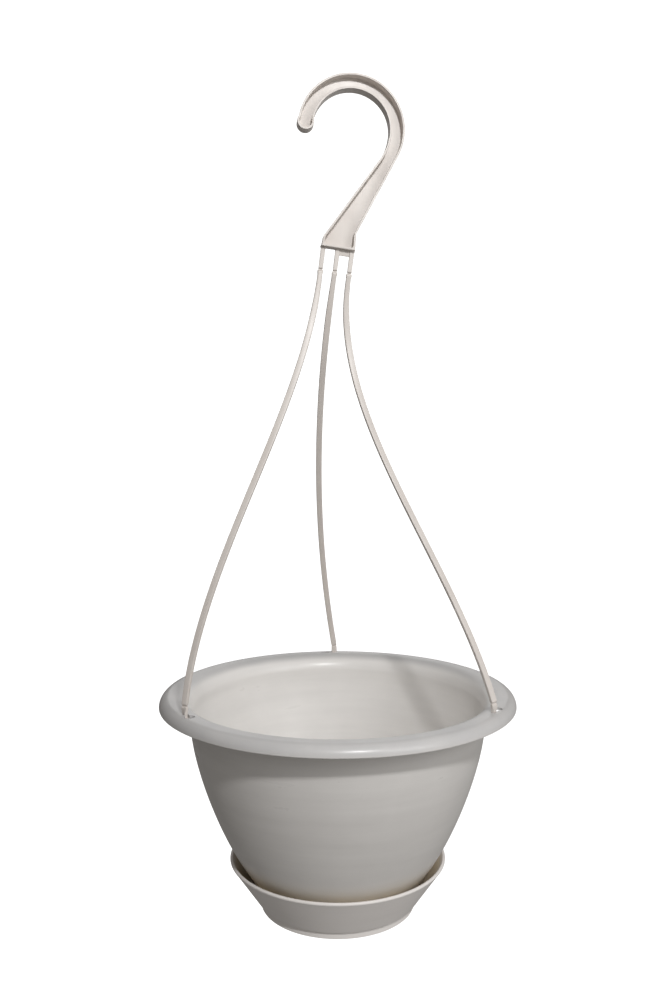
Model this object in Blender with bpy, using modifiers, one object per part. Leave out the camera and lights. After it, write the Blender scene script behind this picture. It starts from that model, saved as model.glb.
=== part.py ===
"""Hanging basket: a moulded plastic pot with a clip-on saucer, hung from a hook by three moulded strands.

Metres, +Z up. The origin is the seat of the hook: the point of the crown's inner face that rests on a rail,
straight above the pot's axis. The hook opens to -X, and the front of the basket faces -Y.
"""

from math import acos, asin, atan2, cos, hypot, pi, radians, sin, sqrt

import bmesh
import bpy
from mathutils import Euler, Matrix, Vector

# Pot. Heights are counted down from the top of the rim.
BOWL_TOP_RADIUS = 0.1035    # inside radius where the bowl's wall meets the shoulder
RIM_SHOULDER = 0.012        # radius from the rim's top down into the bowl
BUTTON_RADIUS = 0.0032      # of the button under each anchor, which locks under the rim's deck
BUTTON_OVERLAP = 0.00095    # how far it may reach under the curve on either side of the deck
RIM_DECK = 2 * (BUTTON_RADIUS - BUTTON_OVERLAP)
RIM_ROLL = 0.007            # radius of the rim's outer edge, seen in section
RIM_SKIRT = 0.0005          # straight part of the rim's edge below the roll
RIM_RADIUS = BOWL_TOP_RADIUS + RIM_SHOULDER + RIM_DECK + RIM_ROLL
BOWL_BELLY = 0.0025         # how far the wall swells out below the rim
BOWL_BELLY_DROP = 0.025
BOWL_WAIST_RADIUS = 0.0685  # inside radius where the wall turns into the bottom
BOWL_WAIST_DEPTH = 0.121
BOWL_WAIST_SLOPE = 0.65     # inward run of the wall for each unit of height, at the waist
BOWL_WAIST_PULL = 0.27      # share of the wall's height over which it keeps that slope
POT_FLOOR_RADIUS = 0.044
POT_FLOOR_DEPTH = 0.1442    # to the upper face of the floor
POT_WALL = 0.0018

# Saucer, clipped under the pot. Its rest ring carries the pot's floor.
SAUCER_HEIGHT = 0.0361
SAUCER_ROOM = 0.0059        # between the bowl and the saucer's lip
SAUCER_FLOOR_ROOM = 0.015   # the saucer's floor is this much wider all round than the pot's
SAUCER_BEAD = 0.0012        # radius of the bead along the lip
SAUCER_WALL = 0.0018
SAUCER_CHAMFER = 0.001      # where its wall meets its floor
SAUCER_GAP = 0.0032         # between the pot's floor and the saucer's
FOOT_STEP = 0.0032          # the foot ring stands in from the wall
FOOT_WIDTH = 0.0025
FOOT_HEIGHT = 0.0055
REST_RING_INSET = 0.003     # from the edge of the pot's flat floor
REST_RING_WIDTH = 0.002

# Pegs of the saucer, in holes of the pot's floor, and the drain holes between.
PEG_COUNT = 3
PEG_RADIUS = 0.0035
PEG_CIRCLE = 0.020
PEG_STANDS_PROUD = 0.003    # above the pot's floor
PEG_TIP = 0.0012            # bevel of the peg's tip
DRAIN_COUNT = 6
DRAIN_RADIUS = 0.0035
DRAIN_CIRCLE = 0.032

# Keyhole slots along the middle of the rim's deck, one for each strand.
SLOT_CIRCLE = RIM_RADIUS - RIM_ROLL - RIM_DECK / 2
FIRST_SLOT_ANGLE = radians(91.5)
TURN_TO_UNLOCK = 0.0075     # arc from the locked place to the round entry
ANCHOR_WIDTH = 0.0044
ANCHOR_DEPTH = 0.0024
BUTTON_HEIGHT = 0.0018

# Stubs under the hook's base, one for each strand.
STRAND_PITCH = 0.0102
STUB_LENGTH = 0.0157
STUB_WIDTH = 0.0032
STUB_DEPTH = 0.0028
STUB_WEB_HEIGHT = 0.0042
STUB_WEB_DEPTH = 0.0012

# Hook, drawn in its own plane with the origin at the middle of the base's underside.
HOOK_DEPTH = 0.0097
HOOK_STRIP = 0.0105         # width of the crown's strip
HOOK_THROAT = 0.0267        # radius of the crown's inner face
CROWN_SIDE = -0.0015        # the crown's centre from the middle of the base
CROWN_HEIGHT = 0.082
STEM_THROAT = 0.037         # radius of the inner face where the crown turns into the stem
TIP_RADIUS = 0.0059
BASE_WIDTH = 2 * STRAND_PITCH + STUB_WIDTH
BASE_TAPER = 0.0006         # the base's sides lean in by this much up to its shoulders
BASE_LEFT_HEIGHT = 0.007
BASE_RIGHT_HEIGHT = 0.0115
HOOK_RIM = 0.0014           # raised rim round the recess
HOOK_FLOOR = 0.0025         # plate left behind the recess
HOOK_EDGE = 0.0004
HOOK_LEAN = radians(7.5)    # the hook leans to +X, as it hangs
HOOK_TURN = radians(6)      # and is turned a little about the vertical

# Strands, hung from the stubs on living hinges.
HANGER_DROP = 0.3125        # from the hook's base to the top of the rim
STRAND_WIDTH = 0.0044
STRAND_DEPTH = 0.0030
STRAND_ROOT_WIDTH = 0.0034
STRAND_ROOT_LENGTH = 0.035  # over which the strand grows to its full width
STRAND_TIP_LENGTH = 0.003   # rounded end over the rim
STRAND_CHAMFER = 0.0007
ANCHOR_HEIGHT = 0.0055      # of the lower living hinge, above the rim
HINGE_GAP = 0.0005          # open slit that stands for the thin film of a living hinge
HINGE_EDGE = 0.0007         # depth of the plastic left at a living hinge

CLEARANCE = 0.0004          # round what slides or clips
GAP = 0.0003                # between faces that touch

# Where each strand hangs: side of the row, turns of 120 degrees from the first slot, slope at its root and at
# its foot (outward run for each unit of height), sideways bow, and twist of its flat face at the foot.
STRANDS = {
    "left": (-1, 1, 0.12, 0.12, 0.0, radians(-25)),
    "right": (1, 2, -0.20, 0.32, 0.0, radians(25)),
    "back": (0, 0, 0.12, 0.12, 0.016, 0.0),
}

ROUND_STEPS = 48
STRAND_STEPS = 22

CREAM = (0.80, 0.76, 0.71)
WHITE = (0.73, 0.71, 0.68)


def clear_scene():
    for old in list(bpy.data.objects):
        bpy.data.objects.remove(old, do_unlink=True)


def collection(name):
    made = bpy.data.collections.new(name)
    bpy.context.scene.collection.children.link(made)
    return made


def plastic(name, colour, roughness):
    made = bpy.data.materials.new(name)
    made.use_nodes = True
    shader = made.node_tree.nodes["Principled BSDF"]
    shader.inputs["Base Color"].default_value = (*colour, 1.0)
    shader.inputs["Roughness"].default_value = roughness
    shader.inputs["Metallic"].default_value = 0.0
    return made


def add_object(name, data, group, material=None):
    made = bpy.data.objects.new(name, data)
    group.objects.link(made)
    if material is not None:
        data.materials.append(material)
    return made


def as_cutter(made):
    made.hide_render = True
    made.display_type = "WIRE"
    return made


def mesh_from(bm, name):
    bmesh.ops.recalc_face_normals(bm, faces=bm.faces[:])
    mesh = bpy.data.meshes.new(name)
    bm.to_mesh(mesh)
    bm.free()
    return mesh


def shade_round(made, angle=35):
    made.data.shade_smooth()
    made.data.set_sharp_from_angle(angle=radians(angle))


def boolean(made, operation, other=None, others=None, solver="EXACT"):
    step = made.modifiers.new(operation.title(), "BOOLEAN")
    step.operation = operation
    step.solver = solver
    if others is not None:
        step.operand_type = "COLLECTION"
        step.collection = others
    else:
        step.object = other


def arc(centre, radius, start, end, steps):
    """Points of an arc in a plane, both ends included; angles in radians from +X."""
    turns = [start + (end - start) * i / steps for i in range(steps + 1)]
    return [(centre[0] + radius * cos(a), centre[1] + radius * sin(a)) for a in turns]


def bezier(ends, steps):
    """Points of a cubic Bezier curve through vectors, both ends included."""
    a, b, c, d = (Vector(p) for p in ends)
    shares = [i / steps for i in range(steps + 1)]
    return [(a * (1 - t) + b * 3 * t) * (1 - t) ** 2 + (c * 3 * (1 - t) + d * t) * t**2 for t in shares]


def smooth(share):
    share = min(max(share, 0.0), 1.0)
    return share * share * (3 - 2 * share)


def turned(name, profile, group, material):
    """A profile of (radius, height) points, down its outer side, turned about Z."""
    mesh = bpy.data.meshes.new(name)
    rows = [(r, 0.0, z) for r, z in profile]
    mesh.from_pydata(rows, [(i, i + 1) for i in range(len(rows) - 1)], [])
    made = add_object(name, mesh, group, material)
    screw = made.modifiers.new("Turn", "SCREW")
    screw.steps = ROUND_STEPS
    screw.render_steps = ROUND_STEPS
    screw.use_merge_vertices = True
    screw.merge_threshold = 0.00005
    return made


def flat_plate(name, outline, thickness):
    """The mesh of an outline in XY, extruded half its thickness each way along Z."""
    curve = bpy.data.curves.new(name, "CURVE")
    curve.dimensions = "2D"
    curve.fill_mode = "BOTH"
    curve.extrude = thickness / 2
    spline = curve.splines.new("POLY")
    spline.points.add(len(outline) - 1)
    for point, (x, y) in zip(spline.points, outline):
        point.co = (x, y, 0.0, 1.0)
    spline.use_cyclic_u = True
    guide = bpy.data.objects.new(name + "_guide", curve)
    bpy.context.scene.collection.objects.link(guide)
    bpy.context.view_layer.update()
    mesh = bpy.data.meshes.new_from_object(guide.evaluated_get(bpy.context.evaluated_depsgraph_get()))
    bpy.data.objects.remove(guide)
    bpy.data.curves.remove(curve)
    bm = bmesh.new()
    bm.from_mesh(mesh)
    bmesh.ops.remove_doubles(bm, verts=bm.verts[:], dist=0.000001)
    bmesh.ops.recalc_face_normals(bm, faces=bm.faces[:])
    bm.to_mesh(mesh)
    bm.free()
    mesh.name = name
    return mesh


def loft(name, rings):
    """A closed mesh through rings of equally many points, with both ends capped."""
    bm = bmesh.new()
    rows = [[bm.verts.new(p) for p in ring] for ring in rings]
    for upper, lower in zip(rows, rows[1:]):
        for i in range(len(upper)):
            bm.faces.new((upper[i - 1], upper[i], lower[i], lower[i - 1]))
    bm.faces.new(rows[0])
    bm.faces.new(rows[-1])
    return mesh_from(bm, name)


def chamfered_ring(centre, across, deep, width, depth, chamfer):
    """The eight corners of a chamfered rectangle."""
    w, d = width / 2, depth / 2
    c = min(chamfer, w / 2, d / 2)
    quarter = [(w, d - c), (w - c, d)]
    corners = quarter + [(-x, y) for x, y in reversed(quarter)]
    corners += [(-x, -y) for x, y in corners]
    return [centre + across * x + deep * y for x, y in corners]


def inset(outline, distance):
    """An outline that runs counter-clockwise, moved inwards by a distance with mitred corners."""
    moved = []
    for i, here in enumerate(outline):
        before, after = outline[i - 1], outline[(i + 1) % len(outline)]
        first = Vector(here) - Vector(before)
        second = Vector(after) - Vector(here)
        left_of_first = Vector((-first.y, first.x)).normalized()
        left_of_second = Vector((-second.y, second.x)).normalized()
        middle = (left_of_first + left_of_second).normalized()
        moved.append(Vector(here) + middle * distance / max(middle.dot(left_of_first), 0.3))
    return [tuple(point) for point in moved]


# Hook: its outline, and where it hangs.

CROWN = (CROWN_SIDE, CROWN_HEIGHT)


def touching_angle(point, centre, radius):
    """Where the line from a point below a circle touches the circle's right side, as an angle from +X."""
    away = (point[0] - centre[0], point[1] - centre[1])
    return atan2(away[1], away[0]) + acos(radius / hypot(*away))


def hook_outline():
    """Counter-clockwise: base, up the outside, over the crown, round the tip and back down the inside."""
    half = BASE_WIDTH / 2
    right_shoulder = (half - BASE_TAPER, BASE_RIGHT_HEIGHT)
    left_shoulder = (BASE_TAPER - half, BASE_LEFT_HEIGHT)
    outer = HOOK_THROAT + HOOK_STRIP
    middle = HOOK_THROAT + HOOK_STRIP / 2
    bulb = acos(HOOK_STRIP / 2 / TIP_RADIUS)
    rise = TIP_RADIUS * sin(bulb)
    throat_centre = (CROWN[0] + HOOK_THROAT - STEM_THROAT, CROWN[1])
    tip = (CROWN[0] - middle, CROWN[1])
    points = [(-half, 0.0), (half, 0.0), right_shoulder]
    points += arc(CROWN, outer, touching_angle(right_shoulder, CROWN, outer), pi - asin(rise / outer), 26)
    points += arc(tip, TIP_RADIUS, pi - bulb, 2 * pi + bulb, 12)[1:-1]
    points += arc(CROWN, HOOK_THROAT, pi - asin(rise / HOOK_THROAT), 0.0, 20)
    stem_end = touching_angle(left_shoulder, throat_centre, STEM_THROAT)
    points += arc(throat_centre, STEM_THROAT, 0.0, stem_end, 4)[1:]
    points += [left_shoulder]
    return points


HOOK_FRAME = Euler((0.0, HOOK_LEAN, HOOK_TURN)).to_matrix()
CROWN_REACH = CROWN[0] * cos(HOOK_LEAN) + CROWN[1] * sin(HOOK_LEAN)
CROWN_RISE = CROWN[1] * cos(HOOK_LEAN) - CROWN[0] * sin(HOOK_LEAN)
HUB = Vector((0.0, 0.0, -CROWN_RISE - sqrt(HOOK_THROAT**2 - CROWN_REACH**2)))
ROW = HOOK_FRAME @ Vector((1.0, 0.0, 0.0))
HINGE = HUB + HOOK_FRAME @ Vector((0.0, 0.0, -STUB_LENGTH))
RIM_TOP = Vector((0.0, 0.0, HUB.z - HANGER_DROP))


def stub(name, side, group):
    """A stub under the hook's base, in the hook's own frame, thinned at its end for the living hinge."""
    across, deep = Vector((1, 0, 0)), Vector((0, 1, 0))
    taper = (STUB_DEPTH - HINGE_EDGE) / 2
    end = HINGE_GAP / 2 - STUB_LENGTH
    levels = [(HOOK_RIM / 2, STUB_DEPTH), (end + taper, STUB_DEPTH), (end, HINGE_EDGE)]
    rings = []
    for z, depth in levels:
        centre = Vector((side * STRAND_PITCH, 0.0, z))
        rings.append(chamfered_ring(centre, across, deep, STUB_WIDTH, depth, HINGE_EDGE / 4))
    return as_cutter(add_object(name, loft(name, rings), group))


def make_hook(group, tools):
    strip = flat_plate("hook", hook_outline(), HOOK_DEPTH)
    strip.transform(Matrix.Rotation(radians(90), 4, "X"))
    made = add_object("hook", strip, group, plastic("hook", CREAM, 0.42))
    edge = made.modifiers.new("Soft edge", "BEVEL")
    edge.width = HOOK_EDGE
    edge.segments = 1
    edge.limit_method = "ANGLE"
    edge.angle_limit = radians(50)
    recess_depth = HOOK_DEPTH - HOOK_FLOOR
    recess = flat_plate("hook_recess", inset(hook_outline(), HOOK_RIM), 2 * recess_depth)
    recess.transform(Matrix.Translation((0.0, -HOOK_DEPTH / 2, 0.0)) @ Matrix.Rotation(radians(90), 4, "X"))
    cut = as_cutter(add_object("hook_recess", recess, tools))
    added = [stub("stub_" + name, row[0], tools) for name, row in STRANDS.items()]
    bm = bmesh.new()
    bmesh.ops.create_cube(bm, size=1.0)
    bmesh.ops.scale(bm, vec=(STRAND_PITCH, STUB_WEB_DEPTH, STUB_WEB_HEIGHT + HOOK_RIM / 2), verts=bm.verts[:])
    middle = (STRAND_PITCH / 2, 0.0, (HOOK_RIM / 2 - STUB_WEB_HEIGHT) / 2)
    bmesh.ops.translate(bm, vec=middle, verts=bm.verts[:])
    added.append(as_cutter(add_object("stub_web", mesh_from(bm, "stub_web"), tools)))
    for piece in added:
        boolean(made, "UNION", piece)
    boolean(made, "DIFFERENCE", cut, solver="MANIFOLD")
    for piece in [made, cut, *added]:
        piece.location = HUB
        piece.rotation_euler = (0.0, HOOK_LEAN, HOOK_TURN)
    shade_round(made)
    return made


# Pot and saucer: turned about the basket's axis, with heights from the top of the rim.

POT_UNDERSIDE = -POT_FLOOR_DEPTH - POT_WALL
SAUCER_FLOOR = POT_UNDERSIDE - SAUCER_GAP
SAUCER_UNDERSIDE = SAUCER_FLOOR - SAUCER_WALL
SAUCER_BOTTOM = SAUCER_UNDERSIDE - FOOT_HEIGHT


def bowl_profile():
    """The bowl's inner face from the middle of the floor to the edge of the rolled rim."""
    wall_top = Vector((BOWL_TOP_RADIUS, -RIM_SHOULDER))
    waist = Vector((BOWL_WAIST_RADIUS, -BOWL_WAIST_DEPTH))
    floor_edge = Vector((POT_FLOOR_RADIUS, -POT_FLOOR_DEPTH))
    rise = Vector((BOWL_WAIST_SLOPE, 1.0))
    corner = (POT_FLOOR_DEPTH - BOWL_WAIST_DEPTH) / 2
    wall_pull = (BOWL_WAIST_DEPTH - RIM_SHOULDER) * BOWL_WAIST_PULL
    points = [(0.0, floor_edge.y), tuple(floor_edge)]
    points += bezier([floor_edge, floor_edge + Vector((corner, 0.0)), waist - rise * corner, waist], 4)[1:]
    belly = wall_top + Vector((BOWL_BELLY, -BOWL_BELLY_DROP))
    points += bezier([waist, waist + rise * wall_pull, belly, wall_top], 9)[1:]
    points += arc((BOWL_TOP_RADIUS + RIM_SHOULDER, -RIM_SHOULDER), RIM_SHOULDER, pi, pi / 2, 4)[1:]
    points += arc((RIM_RADIUS - RIM_ROLL, -RIM_ROLL), RIM_ROLL, pi / 2, 0.0, 4)
    points += [(RIM_RADIUS, -RIM_ROLL - RIM_SKIRT)]
    return [tuple(point) for point in points]


def saucer_profile():
    """Across the upper face of the floor, up the inside, over the lip and down the outside to the foot."""
    lip_radius = BOWL_WAIST_RADIUS + POT_WALL + SAUCER_ROOM + SAUCER_WALL
    bead = (lip_radius - SAUCER_BEAD, SAUCER_BOTTOM + SAUCER_HEIGHT - SAUCER_BEAD)
    floor_radius = POT_FLOOR_RADIUS + SAUCER_FLOOR_ROOM
    ring = POT_FLOOR_RADIUS - REST_RING_INSET
    foot = floor_radius - FOOT_STEP
    ring_top = POT_UNDERSIDE - GAP
    points = [(0.0, SAUCER_FLOOR)]
    points += [(ring - REST_RING_WIDTH / 2, z) for z in (SAUCER_FLOOR, ring_top)]
    points += [(ring + REST_RING_WIDTH / 2, z) for z in (ring_top, SAUCER_FLOOR)]
    points += [(floor_radius - SAUCER_WALL - SAUCER_CHAMFER, SAUCER_FLOOR)]
    points += [(floor_radius - SAUCER_WALL, SAUCER_FLOOR + SAUCER_CHAMFER)]
    points += arc(bead, SAUCER_BEAD, pi, -pi / 3, 7)
    points += [(floor_radius, SAUCER_UNDERSIDE + SAUCER_CHAMFER)]
    points += [(foot, z) for z in (SAUCER_UNDERSIDE, SAUCER_BOTTOM)]
    points += [(foot - FOOT_WIDTH, z) for z in (SAUCER_BOTTOM, SAUCER_UNDERSIDE)]
    points += [(0.0, SAUCER_UNDERSIDE)]
    return points


def post(name, radius, low, high, place, group, tip=0.0, segments=20):
    """An upright cylinder between two heights, its upper edge bevelled by tip."""
    bm = bmesh.new()
    shape = {"radius1": radius, "radius2": radius, "depth": high - low}
    bmesh.ops.create_cone(bm, cap_ends=True, segments=segments, **shape)
    bmesh.ops.translate(bm, vec=(place[0], place[1], (low + high) / 2), verts=bm.verts[:])
    if tip:
        edges = [e for e in bm.edges if all(abs(v.co.z - high) < 0.00001 for v in e.verts)]
        bmesh.ops.bevel(bm, geom=edges, offset=tip, segments=1, affect="EDGES")
    return as_cutter(add_object(name, mesh_from(bm, name), group))


def round_places(count, radius, first=0.0):
    return arc((0.0, 0.0), radius, first, first + 2 * pi, count)[:-1]


def slot_angle(turns):
    return FIRST_SLOT_ANGLE + turns * 2 * pi / len(STRANDS)


def make_pot(group, tools):
    made = turned("pot", bowl_profile(), group, plastic("pot", WHITE, 0.40))
    wall = made.modifiers.new("Wall", "SOLIDIFY")
    wall.thickness = POT_WALL
    wall.offset = -1.0
    wall.use_even_offset = True
    cuts = bpy.data.collections.new("pot_cuts")
    tools.children.link(cuts)
    low, high = -POT_WALL - RIM_ROLL / 2, 0.002
    half_slot = ANCHOR_DEPTH / 2 + CLEARANCE
    back, ahead = (ANCHOR_WIDTH / 2 + CLEARANCE) / SLOT_CIRCLE, TURN_TO_UNLOCK / SLOT_CIRCLE
    band = arc((0, 0), SLOT_CIRCLE + half_slot, -back, ahead, 4)
    band += arc((0, 0), SLOT_CIRCLE - half_slot, ahead, -back, 4)
    entry = (SLOT_CIRCLE * cos(ahead), SLOT_CIRCLE * sin(ahead))
    for name, row in STRANDS.items():
        slot = as_cutter(add_object("slot_" + name, flat_plate("slot_" + name, band, high - low), cuts))
        slot.data.transform(Matrix.Translation((0.0, 0.0, (low + high) / 2)))
        hole = post("entry_" + name, BUTTON_RADIUS + CLEARANCE, low, high, entry, cuts)
        slot.rotation_euler.z = hole.rotation_euler.z = slot_angle(row[1])
    under, over = POT_UNDERSIDE - 0.001, -POT_FLOOR_DEPTH + 0.001
    for i, place in enumerate(round_places(PEG_COUNT, PEG_CIRCLE)):
        post(f"peg_hole_{i}", PEG_RADIUS + CLEARANCE, under, over, place, cuts)
    for i, place in enumerate(round_places(DRAIN_COUNT, DRAIN_CIRCLE, pi / DRAIN_COUNT)):
        post(f"drain_hole_{i}", DRAIN_RADIUS, under, over, place, cuts, segments=16)
    for cut in cuts.objects:
        cut.location += RIM_TOP
    boolean(made, "DIFFERENCE", others=cuts)
    shade_round(made)
    return made


def make_saucer(group, tools):
    made = turned("saucer", saucer_profile(), group, plastic("saucer", WHITE, 0.45))
    for i, place in enumerate(round_places(PEG_COUNT, PEG_CIRCLE)):
        low, high = SAUCER_FLOOR - SAUCER_WALL / 2, PEG_STANDS_PROUD - POT_FLOOR_DEPTH
        peg = post(f"peg_{i}", PEG_RADIUS, low, high, place, tools, tip=PEG_TIP)
        peg.location = RIM_TOP
        boolean(made, "UNION", peg)
    shade_round(made)
    return made


# Strands and their anchors in the rim.


def foot_place(name, height=0.0):
    angle = slot_angle(STRANDS[name][1])
    return RIM_TOP + Vector((SLOT_CIRCLE * cos(angle), SLOT_CIRCLE * sin(angle), height))


def make_strand(name, group, material):
    """A flat strand along one smooth curve, thinned at both ends for its living hinges."""
    side, _, root_slope, foot_slope, bow, twist = STRANDS[name]
    root = HINGE + ROW * side * STRAND_PITCH
    foot = foot_place(name, ANCHOR_HEIGHT)
    outward = Vector((foot.x - root.x, foot.y - root.y, 0.0)).normalized()
    sideways = Vector((-outward.y, outward.x, 0.0)) * bow
    drop = root.z - foot.z
    down = Vector((0.0, 0.0, -drop / 3))
    ends = [
        root,
        root + down + outward * root_slope * drop / 3 + sideways,
        foot - down - outward * foot_slope * drop / 3 + sideways,
        foot,
    ]
    slit = HINGE_GAP / 2
    thinning = (STRAND_DEPTH - HINGE_EDGE) / 2
    tip_cuts = [1.0, 0.6, 0.3, 0.12]
    stops = [slit, slit + thinning, slit + 2 * thinning]
    stops += [drop * i / STRAND_STEPS for i in range(1, STRAND_STEPS)]
    stops += [drop - slit - STRAND_TIP_LENGTH * share for share in tip_cuts] + [drop - slit]
    fine = 2000
    curve = bezier(ends, fine)
    rings = []
    for stop in stops:
        step = min(max(round(stop / drop * fine), 1), fine - 1)
        centre, along = curve[step], (curve[step + 1] - curve[step - 1]).normalized()
        share = smooth(stop / drop)
        turn = HOOK_TURN + (twist - HOOK_TURN) * share
        across = Vector((cos(turn), sin(turn), ROW.z * (1 - share))).normalized()
        width = STRAND_ROOT_WIDTH + (STRAND_WIDTH - STRAND_ROOT_WIDTH) * smooth(stop / STRAND_ROOT_LENGTH)
        from_foot = min((drop - slit - stop) / STRAND_TIP_LENGTH, 1.0)
        width *= 0.5 + 0.5 * sqrt(1 - (1 - from_foot) ** 2)
        from_end = min(stop - slit, drop - slit - stop)
        depth = min(STRAND_DEPTH, HINGE_EDGE + 2 * from_end)
        chamfer = STRAND_CHAMFER * (depth - HINGE_EDGE) / (STRAND_DEPTH - HINGE_EDGE) + HINGE_EDGE / 5
        deep = along.cross(across).normalized()
        rings.append(chamfered_ring(centre - HINGE, across, deep, width, depth, chamfer))
    made = add_object("strand_" + name, loft("strand_" + name, rings), group, material)
    shade_round(made, 50)
    return made


def make_anchor(name, group, tools, material):
    """The strand's foot: a tongue down through the keyhole slot, with a button head under the rim."""
    twist = STRANDS[name][5]
    tangent = (slot_angle(STRANDS[name][1]) % pi) - pi / 2
    top = ANCHOR_HEIGHT - HINGE_GAP / 2
    thinning = (ANCHOR_DEPTH - HINGE_EDGE) / 2
    button_top = -POT_WALL - GAP
    levels = [
        (top, ANCHOR_WIDTH / 2, HINGE_EDGE, 0.0),
        (top - thinning, ANCHOR_WIDTH * 0.8, ANCHOR_DEPTH, 0.25),
        (top - 2 * thinning, ANCHOR_WIDTH, ANCHOR_DEPTH, 0.5),
        (GAP, ANCHOR_WIDTH, ANCHOR_DEPTH, 1.0),
        (button_top - BUTTON_HEIGHT / 2, ANCHOR_WIDTH, ANCHOR_DEPTH, 1.0),
    ]
    rings = []
    for z, width, depth, share in levels:
        turn = twist + (tangent - twist) * share
        across, deep = Vector((cos(turn), sin(turn), 0.0)), Vector((-sin(turn), cos(turn), 0.0))
        rings.append(chamfered_ring(Vector((0.0, 0.0, z)), across, deep, width, depth, HINGE_EDGE / 4))
    made = add_object("rim_anchor_" + name, loft("rim_anchor_" + name, rings), group, material)
    low = button_top - BUTTON_HEIGHT
    button = post("button_" + name, BUTTON_RADIUS, low, button_top, (0.0, 0.0), tools, segments=24)
    button.location = foot_place(name)
    boolean(made, "UNION", button)
    shade_round(made)
    return made


def put(piece, place, parent=None):
    """Places a piece at a point of the world, under its parent when it has one."""
    piece.location = place
    if parent is not None:
        piece.parent = parent
        piece.matrix_parent_inverse = Matrix.Translation(-parent.matrix_world.translation)
    bpy.context.view_layer.update()


def main():
    clear_scene()
    group = collection("hanging_basket")
    tools = collection("hanging_basket_cutters")
    make_hook(group, tools)
    axis = bpy.data.objects.new("basket_swing_axis", None)
    group.objects.link(axis)
    put(axis, HINGE)
    material = plastic("strand", CREAM, 0.45)
    for name in STRANDS:
        strand = make_strand(name, group, material)
        put(strand, HINGE, axis)
        put(make_anchor(name, group, tools, material), foot_place(name), strand)
    pot = make_pot(group, tools)
    put(pot, RIM_TOP, axis)
    put(make_saucer(group, tools), RIM_TOP, pot)


main()
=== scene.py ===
"""Hanging basket: a moulded plastic pot with a clip-on saucer, hung from a hook by three moulded strands.

Metres, +Z up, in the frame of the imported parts. The origin is the seat of the hook, where it rests on a rail.
The hook opens to -X, and the front of the basket faces -Y.
"""

from math import acos, asin, atan2, cos, hypot, pi, radians, sin, sqrt

import bmesh
import bpy
from mathutils import Matrix, Vector


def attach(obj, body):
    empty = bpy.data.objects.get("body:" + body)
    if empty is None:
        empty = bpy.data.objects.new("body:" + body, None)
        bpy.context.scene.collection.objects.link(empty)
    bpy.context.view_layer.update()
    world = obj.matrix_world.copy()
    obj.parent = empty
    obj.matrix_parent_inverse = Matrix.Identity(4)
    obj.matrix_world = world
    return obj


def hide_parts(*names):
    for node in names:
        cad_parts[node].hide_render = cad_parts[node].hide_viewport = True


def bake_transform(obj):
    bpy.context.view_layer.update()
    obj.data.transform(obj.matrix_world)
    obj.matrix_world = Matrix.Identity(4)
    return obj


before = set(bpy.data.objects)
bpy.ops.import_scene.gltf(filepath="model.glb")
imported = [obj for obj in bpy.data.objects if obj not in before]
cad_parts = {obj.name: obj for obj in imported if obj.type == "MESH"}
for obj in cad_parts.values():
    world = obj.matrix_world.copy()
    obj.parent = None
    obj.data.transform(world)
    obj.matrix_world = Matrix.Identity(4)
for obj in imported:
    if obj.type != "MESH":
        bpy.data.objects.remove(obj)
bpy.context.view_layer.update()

# ---------------------------------------------------------------------------------------------------------------
# Hook. One half of the hanger moulding, in cream polypropylene with a gloss from the polished mould. It is a flat
# strip curled over at the top and widened into a base, hollowed from the front so that a thin rim stands round a
# smooth floor. Three square stubs drop from its base, two of them tied by a small web.

HOOK_DEPTH = 0.0097
HOOK_STRIP = 0.0105          # width of the crown's strip
HOOK_THROAT = 0.0267         # radius of the crown's inner face
CROWN = (-0.0015, 0.082)     # its centre, from the middle of the base's underside
STEM_THROAT = 0.037          # radius of the inner face where the crown turns into the stem
TIP_RADIUS = 0.0059
HOOK_RIM = 0.0014            # width of the rim round the recess
HOOK_FLOOR = 0.0025          # thickness of what is left behind the recess
HOOK_EDGE = 0.0004           # rounding of every outer edge
RECESS_CORNER = 0.0017       # rounding of the recess's two corners in the base
RECESS_FILLET = 0.0006       # rounding where its walls meet its floor
HOOK_LEAN = radians(7.5)     # it leans to +X as it hangs
HOOK_TURN = radians(6)       # and is turned a little about the vertical

STRAND_PITCH = 0.0102
STUB_LENGTH = 0.0157
STUB_WIDTH = 0.0032
STUB_DEPTH = 0.0028
STUB_FLARE = 0.0010          # extra width and depth at a stub's root
SUNK = 0.0005                # how far a stub or the web reaches into the base
HINGE_EDGE = 0.0007          # depth of the plastic left beside a living hinge
HINGE_GAP = 0.0005
NOTCH = 0.0007               # height of the slope on either side of a living hinge

BASE_WIDTH = 2 * STRAND_PITCH + STUB_WIDTH
BASE_TAPER = 0.0006          # the base narrows by this much on each side, up to its shoulders
LEFT_SHOULDER = (BASE_TAPER - BASE_WIDTH / 2, 0.007)
RIGHT_SHOULDER = (BASE_WIDTH / 2 - BASE_TAPER, 0.0115)

CREAM = (0.70, 0.655, 0.615)
CREAM_SHADE = (0.63, 0.58, 0.54)

HOOK_FRAME = Matrix.Rotation(HOOK_TURN, 3, "Z") @ Matrix.Rotation(HOOK_LEAN, 3, "Y")
CROWN_REACH = CROWN[0] * cos(HOOK_LEAN) + CROWN[1] * sin(HOOK_LEAN)
CROWN_RISE = CROWN[1] * cos(HOOK_LEAN) - CROWN[0] * sin(HOOK_LEAN)
HUB = Vector((0.0, 0.0, -CROWN_RISE - sqrt(HOOK_THROAT**2 - CROWN_REACH**2)))
ROW = HOOK_FRAME @ Vector((1.0, 0.0, 0.0))
HINGE = HUB + HOOK_FRAME @ Vector((0.0, 0.0, -STUB_LENGTH))


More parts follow.
